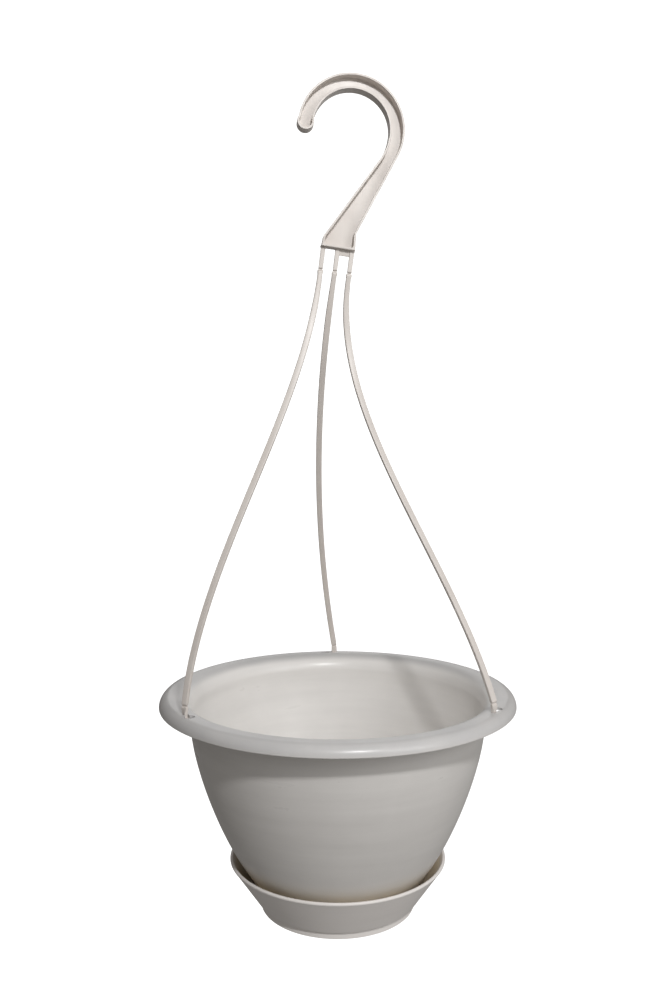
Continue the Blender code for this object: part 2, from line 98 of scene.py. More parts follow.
def begin(name):
    """A new piece as a single vertex at the origin, in edit mode."""
    if bpy.context.mode != "OBJECT":
        bpy.ops.object.mode_set(mode="OBJECT")
    bpy.ops.object.select_all(action="DESELECT")
    bpy.ops.mesh.primitive_plane_add(size=0.001)
    piece = bpy.context.object
    piece.name = piece.data.name = name
    bpy.ops.object.mode_set(mode="EDIT")
    bpy.ops.mesh.select_mode(type="VERT")
    bpy.ops.mesh.select_all(action="SELECT")
    bpy.ops.mesh.merge(type="CENTER")
    return piece


def pick(piece, kind, test):
    """In edit mode, selects only the vertices, edges or faces that pass a test."""
    bpy.ops.mesh.select_mode(type=kind)
    bpy.ops.mesh.select_all(action="DESELECT")
    drawn = bmesh.from_edit_mesh(piece.data)
    drawn.normal_update()
    found = [e for e in {"VERT": drawn.verts, "EDGE": drawn.edges, "FACE": drawn.faces}[kind] if test(e)]
    for each in found:
        each.select_set(True)
    drawn.select_flush_mode()
    bmesh.update_edit_mesh(piece.data)
    return len(found)


def crease(edge):
    """The angle between an edge's two faces, or none at an open edge."""
    return edge.calc_face_angle() if len(edge.link_faces) == 2 else 0.0


def soften(piece, width, rounds, test):
    """Rounds the edges that pass a test."""
    if pick(piece, "EDGE", test):
        bpy.ops.mesh.bevel(offset=width, segments=rounds, profile=0.5, affect="EDGES", clamp_overlap=True)


def finish_piece(piece, angle=35):
    """Transforms applied, smooth where the surface is round, back in object mode."""
    if bpy.context.mode != "OBJECT":
        bpy.ops.object.mode_set(mode="OBJECT")
    bpy.ops.object.select_all(action="DESELECT")
    piece.select_set(True)
    bpy.context.view_layer.objects.active = piece
    bpy.ops.object.transform_apply(location=True, rotation=True, scale=True)
    bpy.ops.object.shade_smooth_by_angle(angle=radians(angle), keep_sharp_edges=True)
    even = piece.modifiers.new("Flat faces", "WEIGHTED_NORMAL")
    even.mode = "FACE_AREA_WITH_ANGLE"
    even.weight = 100
    even.keep_sharp = True
    bpy.ops.object.modifier_apply(modifier=even.name)
    return piece


def ladder(piece, sides, front):
    """Extrudes the selected edge from rung to rung: each rung is two points of the strip's face."""
    left, right = (Vector((x, front, z)) for x, z in sides[0])
    bpy.ops.transform.translate(value=left)
    bpy.ops.mesh.extrude_vertices_move(TRANSFORM_OT_translate={"value": right - left})
    for next_left, next_right in sides[1:]:
        goal_left, goal_right = (Vector((x, front, z)) for x, z in (next_left, next_right))
        drawn = bmesh.from_edit_mesh(piece.data)
        ends = [v for v in drawn.verts if (v.co - left).length < 1e-6 or (v.co - right).length < 1e-6]
        for v in drawn.verts:
            v.select_set(v in ends)
        drawn.select_flush(True)
        bmesh.update_edit_mesh(piece.data)
        bpy.ops.mesh.extrude_region_move(TRANSFORM_OT_translate={"value": goal_left - left})
        moved = right + goal_left - left
        drawn = bmesh.from_edit_mesh(piece.data)
        for v in drawn.verts:
            v.select_set((v.co - moved).length < 1e-6)
        drawn.select_flush_mode()
        bmesh.update_edit_mesh(piece.data)
        bpy.ops.transform.translate(value=goal_right - moved)
        left, right = goal_left, goal_right


def on_circle(centre, radius, angle):
    return (centre[0] + radius * cos(angle), centre[1] + radius * sin(angle))


def touching_angle(point, centre, radius):
    """Where the line from a point below a circle touches its right side, as an angle from +X."""
    away = (point[0] - centre[0], point[1] - centre[1])
    return atan2(away[1], away[0]) + acos(radius / hypot(*away))


def rounded_ring(centre, across, deep, width, depth, corner, keep_face=False):
    """Adds a rounded rectangle to the mesh being edited, square to the way that across and deep give."""
    turn = Matrix((across, deep, across.cross(deep))).transposed()
    bpy.ops.mesh.primitive_plane_add(size=1.0, location=centre, rotation=turn.to_euler())
    squeeze = {"orient_type": "GLOBAL", "orient_matrix": turn, "orient_matrix_type": "GLOBAL"}
    bpy.ops.transform.resize(value=(width, depth, 1.0), center_override=centre, **squeeze)
    bpy.ops.mesh.bevel(offset=min(corner, width * 0.45, depth * 0.45), segments=2, affect="VERTICES")
    if not keep_face:
        bpy.ops.mesh.delete(type="ONLY_FACE")


def swept_bar(rings):
    """A closed bar through rounded rings, in the mesh being edited."""
    bpy.ops.mesh.select_mode(type="EDGE")
    bpy.ops.mesh.select_all(action="SELECT")
    bpy.ops.mesh.hide()
    for i, ring in enumerate(rings):
        rounded_ring(*ring, keep_face=i in (0, len(rings) - 1))
    bpy.ops.mesh.select_all(action="SELECT")
    bpy.ops.mesh.bridge_edge_loops(type="SINGLE")
    bpy.ops.mesh.select_all(action="SELECT")
    bpy.ops.mesh.normals_make_consistent(inside=False)
    bpy.ops.mesh.reveal(select=False)


def value_node(nodes, kind, inputs=(), **settings):
    """A shader node with some of its inputs and settings given."""
    node = nodes.new(kind)
    for key, value in settings.items():
        setattr(node, key, value)
    for key, value in dict(inputs).items():
        node.inputs[key].default_value = value
    return node


MIX_AMOUNT, MIX_FIRST, MIX_SECOND, MIX_RESULT = 0, 6, 7, 2   # sockets of a colour mix


def mixed(nodes, links, first, second, amount):
    """The output of a colour mix, each input a plain colour or the output of another node."""
    node = value_node(nodes, "ShaderNodeMix", data_type="RGBA")
    for socket, given in ((MIX_FIRST, first), (MIX_SECOND, second), (MIX_AMOUNT, amount)):
        if isinstance(given, tuple):
            node.inputs[socket].default_value = (*given, 1.0)
        else:
            links.new(given, node.inputs[socket])
    return node.outputs[MIX_RESULT]


def moulded_plastic(name, colour, shade, roughness, stretch, grain=0.10, painted_light_bands=(), inner=None):
    """Moulded polypropylene: soft flow marks along stretch, tiny specks, a fine grain and uneven gloss.

    Each painted band of light or shade is (colour, height where it starts, height where it is full, strength).
    The inner colour is painted light and goes where the piece's "inside" attribute is 1."""
    made = bpy.data.materials.new(name)
    made.use_nodes = True
    nodes, links = made.node_tree.nodes, made.node_tree.links
    shader = nodes["Principled BSDF"]
    place = nodes.new("ShaderNodeTexCoord")
    flow = value_node(nodes, "ShaderNodeMapping", {"Scale": stretch})
    links.new(place.outputs["Object"], flow.inputs["Vector"])

    marks = value_node(nodes, "ShaderNodeTexNoise", {"Scale": 1.0, "Detail": 5.0, "Roughness": 0.55})
    links.new(flow.outputs["Vector"], marks.inputs["Vector"])
    cloud = value_node(nodes, "ShaderNodeTexNoise", {"Scale": 21.0, "Detail": 6.0, "Roughness": 0.6})
    links.new(place.outputs["Object"], cloud.inputs["Vector"])
    both = value_node(nodes, "ShaderNodeMath", {1: 0.5}, operation="MULTIPLY_ADD")
    links.new(marks.outputs["Fac"], both.inputs[0])
    half = value_node(nodes, "ShaderNodeMath", {1: 0.5}, operation="MULTIPLY")
    links.new(cloud.outputs["Fac"], half.inputs[0])
    links.new(half.outputs[0], both.inputs[2])
    spread = value_node(nodes, "ShaderNodeMapRange", {"From Min": 0.36, "From Max": 0.64})
    links.new(both.outputs[0], spread.inputs["Value"])
    last = mixed(nodes, links, colour, shade, spread.outputs["Result"])

    # bands of painted light or shade, by height
    for painted_band_colour, start, full, strength in painted_light_bands:
        split = nodes.new("ShaderNodeSeparateXYZ")
        links.new(place.outputs["Object"], split.inputs["Vector"])
        rise = {"From Min": start, "From Max": full, "To Max": strength}
        ramp = value_node(nodes, "ShaderNodeMapRange", rise, interpolation_type="SMOOTHSTEP")
        links.new(split.outputs["Z"], ramp.inputs["Value"])
        patchy = value_node(nodes, "ShaderNodeMapRange", {"From Min": 0.3, "From Max": 0.7, "To Min": 0.55})
        links.new(cloud.outputs["Fac"], patchy.inputs["Value"])
        amount = value_node(nodes, "ShaderNodeMath", operation="MULTIPLY")
        links.new(ramp.outputs["Result"], amount.inputs[0])
        links.new(patchy.outputs["Result"], amount.inputs[1])
        last = mixed(nodes, links, last, painted_band_colour, amount.outputs[0])

    # painted light on the faces marked inside
    if inner:
        mask = value_node(nodes, "ShaderNodeAttribute", attribute_name="inside")
        painted_inner_light = mixed(nodes, links, inner, tuple(c * 0.93 for c in inner), spread.outputs["Result"])
        last = mixed(nodes, links, last, painted_inner_light, mask.outputs["Fac"])

    dots = value_node(nodes, "ShaderNodeTexVoronoi", {"Scale": 75.0, "Randomness": 1.0})
    links.new(place.outputs["Object"], dots.inputs["Vector"])
    faint = {"From Min": 0.018, "From Max": 0.03, "To Min": 0.30, "To Max": 0.0}
    specks = value_node(nodes, "ShaderNodeMapRange", faint)
    links.new(dots.outputs["Distance"], specks.inputs["Value"])
    last = mixed(nodes, links, last, tuple(c * 0.45 for c in shade), specks.outputs["Result"])
    links.new(last, shader.inputs["Base Color"])

    uneven = {"From Min": 0.3, "From Max": 0.7, "To Min": roughness - 0.06, "To Max": roughness + 0.08}
    gloss = value_node(nodes, "ShaderNodeMapRange", uneven)
    links.new(both.outputs[0], gloss.inputs["Value"])
    links.new(gloss.outputs["Result"], shader.inputs["Roughness"])

    fine = value_node(nodes, "ShaderNodeTexNoise", {"Scale": 1500.0, "Detail": 2.0})
    links.new(place.outputs["Object"], fine.inputs["Vector"])
    rough_skin = value_node(nodes, "ShaderNodeBump", {"Strength": grain, "Distance": 0.0002})
    links.new(fine.outputs["Fac"], rough_skin.inputs["Height"])
    sink = value_node(nodes, "ShaderNodeBump", {"Strength": 0.25, "Distance": 0.0006})
    links.new(cloud.outputs["Fac"], sink.inputs["Height"])
    links.new(rough_skin.outputs["Normal"], sink.inputs["Normal"])
    links.new(sink.outputs["Normal"], shader.inputs["Normal"])
    shader.inputs["IOR"].default_value = 1.49
    return made


hanger_plastic = moulded_plastic("hanger_plastic", CREAM, CREAM_SHADE, 0.38, (60.0, 60.0, 14.0), grain=0.05)

hook = begin("hook_moulding")
outer = HOOK_THROAT + HOOK_STRIP
bulb = acos(HOOK_STRIP / 2 / TIP_RADIUS)
rise = TIP_RADIUS * sin(bulb)
throat_centre = (CROWN[0] + HOOK_THROAT - STEM_THROAT, CROWN[1])
inner_start = touching_angle(LEFT_SHOULDER, throat_centre, STEM_THROAT)
outer_start = touching_angle(RIGHT_SHOULDER, CROWN, outer)
rungs = [((-BASE_WIDTH / 2, 0.0), (BASE_WIDTH / 2, 0.0)), (LEFT_SHOULDER, RIGHT_SHOULDER)]
STEM_STEPS, CROWN_STEPS, TIP_STEPS = 8, 52, 9
for i in range(STEM_STEPS + 1):
    left_turn = inner_start * (1 - i / STEM_STEPS)
    right_turn = outer_start * (1 - i / STEM_STEPS)
    rungs.append((on_circle(throat_centre, STEM_THROAT, left_turn), on_circle(CROWN, outer, right_turn)))
for i in range(1, CROWN_STEPS + 1):
    left_turn = (pi - asin(rise / HOOK_THROAT)) * i / CROWN_STEPS
    right_turn = (pi - asin(rise / outer)) * i / CROWN_STEPS
    rungs.append((on_circle(CROWN, HOOK_THROAT, left_turn), on_circle(CROWN, outer, right_turn)))
tip_centre = (CROWN[0] - HOOK_THROAT - HOOK_STRIP / 2, CROWN[1])
for i in range(1, TIP_STEPS + 1):
    half_turn = (pi / 2 + bulb) * (1 - i / (TIP_STEPS + 0.6))   # stops short, so that the last rung is an edge
    turns = (half_turn - pi / 2, -half_turn - pi / 2)
    rungs.append(tuple(on_circle(tip_centre, TIP_RADIUS, turn) for turn in turns))
front = -HOOK_DEPTH / 2
ladder(hook, rungs, front)
bpy.ops.mesh.select_all(action="SELECT")
bpy.ops.mesh.extrude_region_move(TRANSFORM_OT_translate={"value": (0.0, HOOK_DEPTH, 0.0)})
bpy.ops.mesh.select_all(action="SELECT")
bpy.ops.mesh.normals_make_consistent(inside=False)
pick(hook, "FACE", lambda f: f.normal.y < -0.9)
bpy.ops.mesh.inset(thickness=HOOK_RIM, depth=0.0, use_even_offset=True)
bpy.ops.mesh.extrude_region_move(TRANSFORM_OT_translate={"value": (0.0, HOOK_DEPTH - HOOK_FLOOR, 0.0)})
floor_y = front + HOOK_DEPTH - HOOK_FLOOR


def recess_corner(edge):
    start, end = (v.co for v in edge.verts)
    runs_back = abs(start.y - end.y) > HOOK_DEPTH / 2
    return runs_back and abs(start.x) > BASE_WIDTH / 3 and HOOK_RIM / 2 < start.z < 2 * HOOK_RIM


soften(hook, RECESS_CORNER, 4, recess_corner)
on_floor = lambda e: all(abs(v.co.y - floor_y) < 1e-5 for v in e.verts)
soften(hook, RECESS_FILLET, 3, lambda e: on_floor(e) and crease(e) > radians(40))
soften(hook, HOOK_EDGE, 2, lambda e: crease(e) > radians(50))
across, deep = Vector((1, 0, 0)), Vector((0, 1, 0))
for side in (-1, 0, 1):
    end = HINGE_GAP / 2 - STUB_LENGTH
    levels = [   # height, width, depth and corner
        (SUNK, STUB_WIDTH + STUB_FLARE, STUB_DEPTH + STUB_FLARE, 0.0004),
        (-0.0003, STUB_WIDTH + 0.0008, STUB_DEPTH + 0.0008, 0.0004),
        (-0.0008, STUB_WIDTH + 0.0002, STUB_DEPTH + 0.0002, 0.0004),
        (-0.0016, STUB_WIDTH, STUB_DEPTH, 0.0004),
        (-0.0080, STUB_WIDTH - 0.0001, STUB_DEPTH - 0.0001, 0.0004),
        (end + NOTCH * 1.3, STUB_WIDTH - 0.0002, STUB_DEPTH, 0.0004),
        (end + NOTCH * 0.9, STUB_WIDTH - 0.0002, STUB_DEPTH * 0.93, 0.0004),
        (end + NOTCH * 0.1, STUB_WIDTH - 0.0002, HINGE_EDGE * 1.15, 0.0003),
        (end, STUB_WIDTH - 0.0003, HINGE_EDGE, 0.0002),
    ]
    swept_bar([(Vector((side * STRAND_PITCH, 0.0, z)), across, deep, w, d, c) for z, w, d, c in levels])
web = [(SUNK, 0.0018), (-0.0006, 0.0014), (-0.0034, 0.0012), (-0.0042, 0.0008)]   # height and depth
swept_bar([(Vector((STRAND_PITCH / 2, 0.0, z)), across, deep, STRAND_PITCH, d, 0.0003) for z, d in web])
bpy.ops.object.mode_set(mode="OBJECT")
hook.location = HUB
hook.rotation_euler = HOOK_FRAME.to_euler()
finish_piece(hook, 38)
hook.data.materials.append(hanger_plastic)
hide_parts("hook")
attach(hook, "hook")

# ---------------------------------------------------------------------------------------------------------------
# Strands. The other part of the hanger: three flat bars with eased edges, moulded straight and pulled out to the
# rim, where each has taken a gentle set. They hang from the stubs on living hinges, where the plastic is thinned
# to a film, and end in a rounded finger over the rim.

HANGER_DROP = 0.3125
RIM_TOP = Vector((0.0, 0.0, HUB.z - HANGER_DROP))
SLOT_CIRCLE = 0.11775
FIRST_SLOT_ANGLE = radians(91.5)
ANCHOR_HEIGHT = 0.0055       # of the lower living hinge, above the rim
STRAND_WIDTH = 0.0044
STRAND_DEPTH = 0.0030
STRAND_ROOT_WIDTH = 0.0034
STRAND_ROOT_LENGTH = 0.035
STRAND_TIP_LENGTH = 0.003
COLLAR = 0.0005              # extra width of the shoulder just under the upper hinge
STRAND_STEPS = 64

# side of the row, turns of 120 degrees, slopes at root and foot, sideways bow, twist of the flat face at the foot
STRANDS = {
    "left": (-1, 1, 0.12, 0.12, 0.0, radians(-25)),
    "right": (1, 2, -0.20, 0.32, 0.0, radians(25)),
    "back": (0, 0, 0.12, 0.12, 0.016, 0.0),
}


def slot_angle(turns):
    return FIRST_SLOT_ANGLE + turns * 2 * pi / len(STRANDS)


def foot_place(name, height=0.0):
    angle = slot_angle(STRANDS[name][1])
    return RIM_TOP + Vector((SLOT_CIRCLE * cos(angle), SLOT_CIRCLE * sin(angle), height))


def smooth(share):
    share = min(max(share, 0.0), 1.0)
    return share * share * (3 - 2 * share)


def bezier(ends, t):
    a, b, c, d = ends
    return (a * (1 - t) + b * 3 * t) * (1 - t) ** 2 + (c * 3 * (1 - t) + d * t) * t**2


for name, (side, _, root_slope, foot_slope, bow, twist) in STRANDS.items():
    root = HINGE + ROW * side * STRAND_PITCH
    foot = foot_place(name, ANCHOR_HEIGHT)
    outward = Vector((foot.x - root.x, foot.y - root.y, 0.0)).normalized()
    sideways = Vector((-outward.y, outward.x, 0.0)) * bow
    drop = root.z - foot.z
    down = Vector((0.0, 0.0, -drop / 3))
    ends = [
        root,
        root + down + outward * root_slope * drop / 3 + sideways,
        foot - down - outward * foot_slope * drop / 3 + sideways,
        foot,
    ]
    slit = HINGE_GAP / 2
    stops = [slit + NOTCH * share for share in (0.0, 0.1, 0.5, 0.9, 1.3)] + [0.0018, 0.0026, 0.0032, 0.0042]
    stops += [drop * i / STRAND_STEPS for i in range(2, STRAND_STEPS)]
    stops += [drop - slit - STRAND_TIP_LENGTH * share for share in (1.0, 0.75, 0.5, 0.3, 0.15, 0.05)]
    stops += [drop - slit]
    rings = []
    for stop in stops:
        t = stop / drop
        centre = bezier(ends, t)
        along = (bezier(ends, min(t + 0.001, 1.0)) - bezier(ends, max(t - 0.001, 0.0))).normalized()
        share = smooth(t)
        turn = HOOK_TURN + (twist - HOOK_TURN) * share
        across = Vector((cos(turn), sin(turn), ROW.z * (1 - share))).normalized()
        deep = along.cross(across).normalized()
        across = deep.cross(along).normalized()
        width = STRAND_ROOT_WIDTH + (STRAND_WIDTH - STRAND_ROOT_WIDTH) * smooth(stop / STRAND_ROOT_LENGTH)
        width += COLLAR * (1 - smooth((stop - 0.0018) / 0.0014))
        from_foot = min((drop - slit - stop) / STRAND_TIP_LENGTH, 1.0)
        width *= 0.86 + 0.14 * sqrt(max(1 - (1 - from_foot) ** 2, 0.0))
        from_end = min(stop - slit, drop - slit - stop)
        depth = HINGE_EDGE + (STRAND_DEPTH - HINGE_EDGE) * smooth(from_end / NOTCH / 1.3)
        rings.append((centre, across, deep, width, depth, 0.00075 * depth / STRAND_DEPTH + 0.00005))
    strand = begin("strand_bar_" + name)
    bpy.ops.mesh.delete(type="VERT")
    swept_bar(rings)
    finish_piece(strand, 40)
    strand.data.materials.append(hanger_plastic)
    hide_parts("strand_" + name)
    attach(strand, "strands")

    # the film of the upper living hinge, from inside the stub's end to inside the strand's
    film = begin("hinge_film_" + name)
    bpy.ops.mesh.delete(type="VERT")
    stub_end = root + HOOK_FRAME @ Vector((0.0, 0.0, 0.0006))
    strand_end = bezier(ends, 0.0006 / drop)
    cuts = [stub_end.lerp(strand_end, i / 6) for i in range(7)]
    deep = HOOK_FRAME @ Vector((0.0, 1.0, 0.0))
    thick = (0.00062, 0.00050, 0.00040, 0.00036, 0.00040, 0.00050, 0.00062)
    swept_bar([(cut, ROW, deep, STUB_WIDTH - 0.0008, d, 0.00012) for cut, d in zip(cuts, thick)])
    finish_piece(film, 40)
    film.data.materials.append(hanger_plastic)
    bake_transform(film)

# ---------------------------------------------------------------------------------------------------------------
# Rim anchors. The foot of each strand, past its lower living hinge: a small tongue that widens towards the rim,
# drops through the keyhole slot and ends in a round button under it. Pushed through the round entry, then slid
# along, it is locked in place.

ANCHOR_WIDTH = 0.0044
ANCHOR_DEPTH = 0.0024
ANCHOR_CORNER = 0.0004
BUTTON_RADIUS = 0.0032
BUTTON_HEIGHT = 0.0018
POT_WALL = 0.0018
GAP = 0.0003

for name, row in STRANDS.items():
    anchor = begin("rim_anchor_foot_" + name)
    bpy.ops.mesh.delete(type="VERT")
    place, twist = foot_place(name), row[5]
    tangent = (slot_angle(row[1]) % pi) - pi / 2   # along the slot
    button_top = -POT_WALL - GAP
    levels = [   # height, share of the width, depth, and share of the turn from the strand's face to the slot
        (ANCHOR_HEIGHT + 0.0005, 0.86, 0.00045, 0.0),
        (ANCHOR_HEIGHT, 0.86, 0.00036, 0.0),
        (ANCHOR_HEIGHT - 0.0003, 0.88, 0.00060, 0.0),
        (ANCHOR_HEIGHT - 0.0006, 0.93, ANCHOR_DEPTH * 0.80, 0.0),
        (ANCHOR_HEIGHT - 0.0009, 0.96, ANCHOR_DEPTH * 0.97, 0.05),
        (ANCHOR_HEIGHT - 0.0020, 1.00, ANCHOR_DEPTH, 0.2),
        (ANCHOR_HEIGHT - 0.0038, 1.00, ANCHOR_DEPTH, 0.8),
        (GAP, 1.00, ANCHOR_DEPTH, 1.0),
        (button_top - BUTTON_HEIGHT / 2, 1.00, ANCHOR_DEPTH, 1.0),
    ]
    rings = []
    for z, width, depth, share in levels:
        turn = twist + (tangent - twist) * share
        across, deep = Vector((cos(turn), sin(turn), 0.0)), Vector((-sin(turn), cos(turn), 0.0))
        corner = ANCHOR_CORNER * depth / ANCHOR_DEPTH
        rings.append((place + Vector((0.0, 0.0, z)), across, deep, ANCHOR_WIDTH * width, depth, corner))
    swept_bar(rings)
    middle = place + Vector((0.0, 0.0, button_top - BUTTON_HEIGHT / 2))
    bpy.ops.mesh.primitive_cylinder_add(vertices=40, radius=BUTTON_RADIUS, depth=BUTTON_HEIGHT, location=middle)
    soften(
        anchor,
        0.0005,
        3,
        lambda e: crease(e) > radians(80)
        and all(hypot(v.co.x - place.x, v.co.y - place.y) > BUTTON_RADIUS * 0.98 for v in e.verts),
    )
    finish_piece(anchor, 40)
    anchor.data.materials.append(hanger_plastic)
    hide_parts("rim_anchor_" + name)
    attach(anchor, "strands")

# ---------------------------------------------------------------------------------------------------------------
# Pot. A round bowl with a rolled rim, moulded in one shot of off-white polypropylene with a satin skin. Three
# keyhole slots in the rim take the anchors. The floor, hidden by the saucer, has drain holes and three holes for
# the saucer's pegs. A warm tint low on the wall, where the saucer's lip comes near it, is painted bounce light.
# The rim's top is painted grey as painted shade, and the inside is painted lighter as a painted glow.

BOWL_TOP_RADIUS = 0.1035
RIM_SHOULDER = 0.012
RIM_DECK = 0.0045
RIM_ROLL = 0.007
RIM_SKIRT = 0.0005
RIM_RADIUS = BOWL_TOP_RADIUS + RIM_SHOULDER + RIM_DECK + RIM_ROLL
BOWL_WAIST_RADIUS = 0.0685
BOWL_WAIST_DEPTH = 0.121
POT_FLOOR_RADIUS = 0.044
POT_FLOOR_DEPTH = 0.1442
POT_UNDERSIDE = -POT_FLOOR_DEPTH - POT_WALL
CLEARANCE = 0.0004
TURN_TO_UNLOCK = 0.0075
PEG_RADIUS = 0.0035
PEG_CIRCLE = 0.020
DRAIN_RADIUS = 0.0035
DRAIN_CIRCLE = 0.032
WAIST_SLOPE = 0.65           # how far the wall leans outward per unit of height, at the waist
WALL_PULL = 0.27             # share of the wall's height over which the waist's slope is felt
BELLY = (0.0025, -0.025)     # pull on the wall under the rim: outward and down
SKIRT_EDGE = 0.0005
ROUND_STEPS = 168

OFF_WHITE = (0.72, 0.70, 0.675)
OFF_WHITE_SHADE = (0.665, 0.645, 0.62)
# painted bounce light: a warm tint low on the pot's wall and inside the saucer
PAINTED_BOUNCE_TINT = (0.84, 0.755, 0.62)
# painted shade: grey on the rim's top
RIM_PAINTED_SHADE = (0.49, 0.49, 0.50)
# painted glow: a lighter colour on the pot's inside
INSIDE_PAINTED_GLOW = (0.87, 0.85, 0.825)


def offset(points, distance):
    """A profile moved to its right-hand side by a distance, with mitred corners."""
    moved = []
    for i, here in enumerate(points):
        before = points[max(i - 1, 0)]
        after = points[min(i + 1, len(points) - 1)]
        first = (here - before).normalized() if i else (after - here).normalized()
        second = (after - here).normalized() if i < len(points) - 1 else first
        sides = [Vector((d.y, -d.x)) for d in (first, second)]
        middle = (sides[0] + sides[1]).normalized()
        moved.append(here + middle * distance / max(middle.dot(sides[0]), 0.4))
    return moved


def turned(name, section, top, steps):
    """A section of (radius, height) points with both ends on the axis, spun about the basket's axis."""
    piece = begin(name)
    here = Vector((section[0][0], 0.0, top + section[0][1]))
    bpy.ops.transform.translate(value=here)
    for radius, height in section[1:]:
        there = Vector((radius, 0.0, top + height))
        bpy.ops.mesh.extrude_vertices_move(TRANSFORM_OT_translate={"value": there - here})
        here = there
    bpy.ops.mesh.select_all(action="SELECT")
    bpy.ops.mesh.spin(steps=steps, angle=2 * pi, center=(0.0, 0.0, 0.0), axis=(0.0, 0.0, 1.0))
    bpy.ops.mesh.select_all(action="SELECT")
    bpy.ops.mesh.remove_doubles(threshold=0.00001)
    bpy.ops.mesh.normals_make_consistent(inside=False)
    return piece


def arc(centre, radius, start, end, steps):
    turns = [start + (end - start) * i / steps for i in range(steps + 1)]
    return [Vector(on_circle(centre, radius, a)) for a in turns]


def curve(points, steps):
    points = [Vector(p) for p in points]
    return [bezier(points, i / steps) for i in range(steps + 1)]


def mark_inside(piece, start, full, floor):
    """Marks what looks up or to the axis, above a floor and below the height start, fully so below full."""
    inside_mark = piece.data.attributes.new("inside", "FLOAT", "POINT")
    for point, mark in zip(piece.data.vertices, inside_mark.data):
        outward = Vector((point.co.x, point.co.y, 0.0)).normalized()
        if point.co.z > floor - 0.0001 and point.normal.z - point.normal.dot(outward) > 0.3:
            mark.value = smooth((start - point.co.z) / (start - full))


def cut(piece, cutters):
    """Takes joined cutters out of a piece."""
    bpy.ops.object.select_all(action="DESELECT")
    for cutter in cutters:
        cutter.select_set(True)
    bpy.context.view_layer.objects.active = cutters[0]
    if len(cutters) > 1:
        bpy.ops.object.join()
    tool = bpy.context.view_layer.objects.active
    step = piece.modifiers.new("Cut", "BOOLEAN")
    step.operation = "DIFFERENCE"
    step.solver = "EXACT"
    step.object = tool
    bpy.ops.object.select_all(action="DESELECT")
    piece.select_set(True)
    bpy.context.view_layer.objects.active = piece
    bpy.ops.object.modifier_apply(modifier=step.name)
    bpy.data.objects.remove(tool)


wall_top = Vector((BOWL_TOP_RADIUS, -RIM_SHOULDER))
waist = Vector((BOWL_WAIST_RADIUS, -BOWL_WAIST_DEPTH))
floor_edge = Vector((POT_FLOOR_RADIUS, -POT_FLOOR_DEPTH))
slope = Vector((WAIST_SLOPE, 1.0))
corner = (POT_FLOOR_DEPTH - BOWL_WAIST_DEPTH) / 2
wall_pull = (BOWL_WAIST_DEPTH - RIM_SHOULDER) * WALL_PULL
belly = wall_top + Vector(BELLY)
inside = [Vector((0.0, floor_edge.y)), Vector((0.02, floor_edge.y)), floor_edge]
inside += curve([floor_edge, floor_edge + Vector((corner, 0.0)), waist - slope * corner, waist], 10)[1:]
inside += curve([waist, waist + slope * wall_pull, belly, wall_top], 30)[1:]
inside += arc((BOWL_TOP_RADIUS + RIM_SHOULDER, -RIM_SHOULDER), RIM_SHOULDER, pi, pi / 2, 12)[1:]
inside += arc((RIM_RADIUS - RIM_ROLL, -RIM_ROLL), RIM_ROLL, pi / 2, 0.0, 14)
inside += [Vector((RIM_RADIUS, -RIM_ROLL - RIM_SKIRT))]
outside = offset(inside, POT_WALL)
outside[0].x = 0.0
section = [tuple(p) for p in inside] + [tuple(p) for p in reversed(outside)]
pot = turned("pot_bowl", section, RIM_TOP.z, ROUND_STEPS)
skirt = RIM_TOP.z - RIM_ROLL - RIM_SKIRT
at_skirt = lambda e: all(abs(v.co.z - skirt) < 1e-5 for v in e.verts)
soften(pot, SKIRT_EDGE, 2, lambda e: at_skirt(e) and crease(e) > radians(60))
bpy.ops.object.mode_set(mode="OBJECT")
low, high = RIM_TOP.z - POT_WALL - RIM_ROLL / 2, RIM_TOP.z + 0.002
height = (low + high) / 2
slots, round_cuts = [], []
half_slot = ANCHOR_DEPTH / 2 + CLEARANCE
for name, row in STRANDS.items():
    locked = slot_angle(row[1])
    entry = locked + TURN_TO_UNLOCK / SLOT_CIRCLE
    back = locked - (ANCHOR_WIDTH / 2 + CLEARANCE) / SLOT_CIRCLE
    middle_turn = (entry + back) / 2
    middle = (*on_circle((0, 0), SLOT_CIRCLE, middle_turn), height)
    bpy.ops.mesh.primitive_cube_add(size=1.0, location=middle, rotation=(0, 0, middle_turn))
    bpy.context.object.scale = (2 * half_slot, (entry - back) * SLOT_CIRCLE, high - low)
    slots.append(bpy.context.object)
    middle, radius = (*on_circle((0, 0), SLOT_CIRCLE, entry), height), BUTTON_RADIUS + CLEARANCE
    bpy.ops.mesh.primitive_cylinder_add(vertices=40, radius=radius, depth=high - low, location=middle)
    round_cuts.append(bpy.context.object)
under, over = RIM_TOP.z + POT_UNDERSIDE - 0.001, RIM_TOP.z - POT_FLOOR_DEPTH + 0.001
holes = [(PEG_CIRCLE, PEG_RADIUS + CLEARANCE, i * 2 * pi / 3) for i in range(3)]
holes += [(DRAIN_CIRCLE, DRAIN_RADIUS, pi / 6 + i * pi / 3) for i in range(6)]
for circle, radius, turn in holes:
    middle = (*on_circle((0, 0), circle, turn), (under + over) / 2)
    bpy.ops.mesh.primitive_cylinder_add(vertices=32, radius=radius, depth=over - under, location=middle)
    round_cuts.append(bpy.context.object)
cut(pot, slots)
cut(pot, round_cuts)
finish_piece(pot, 32)
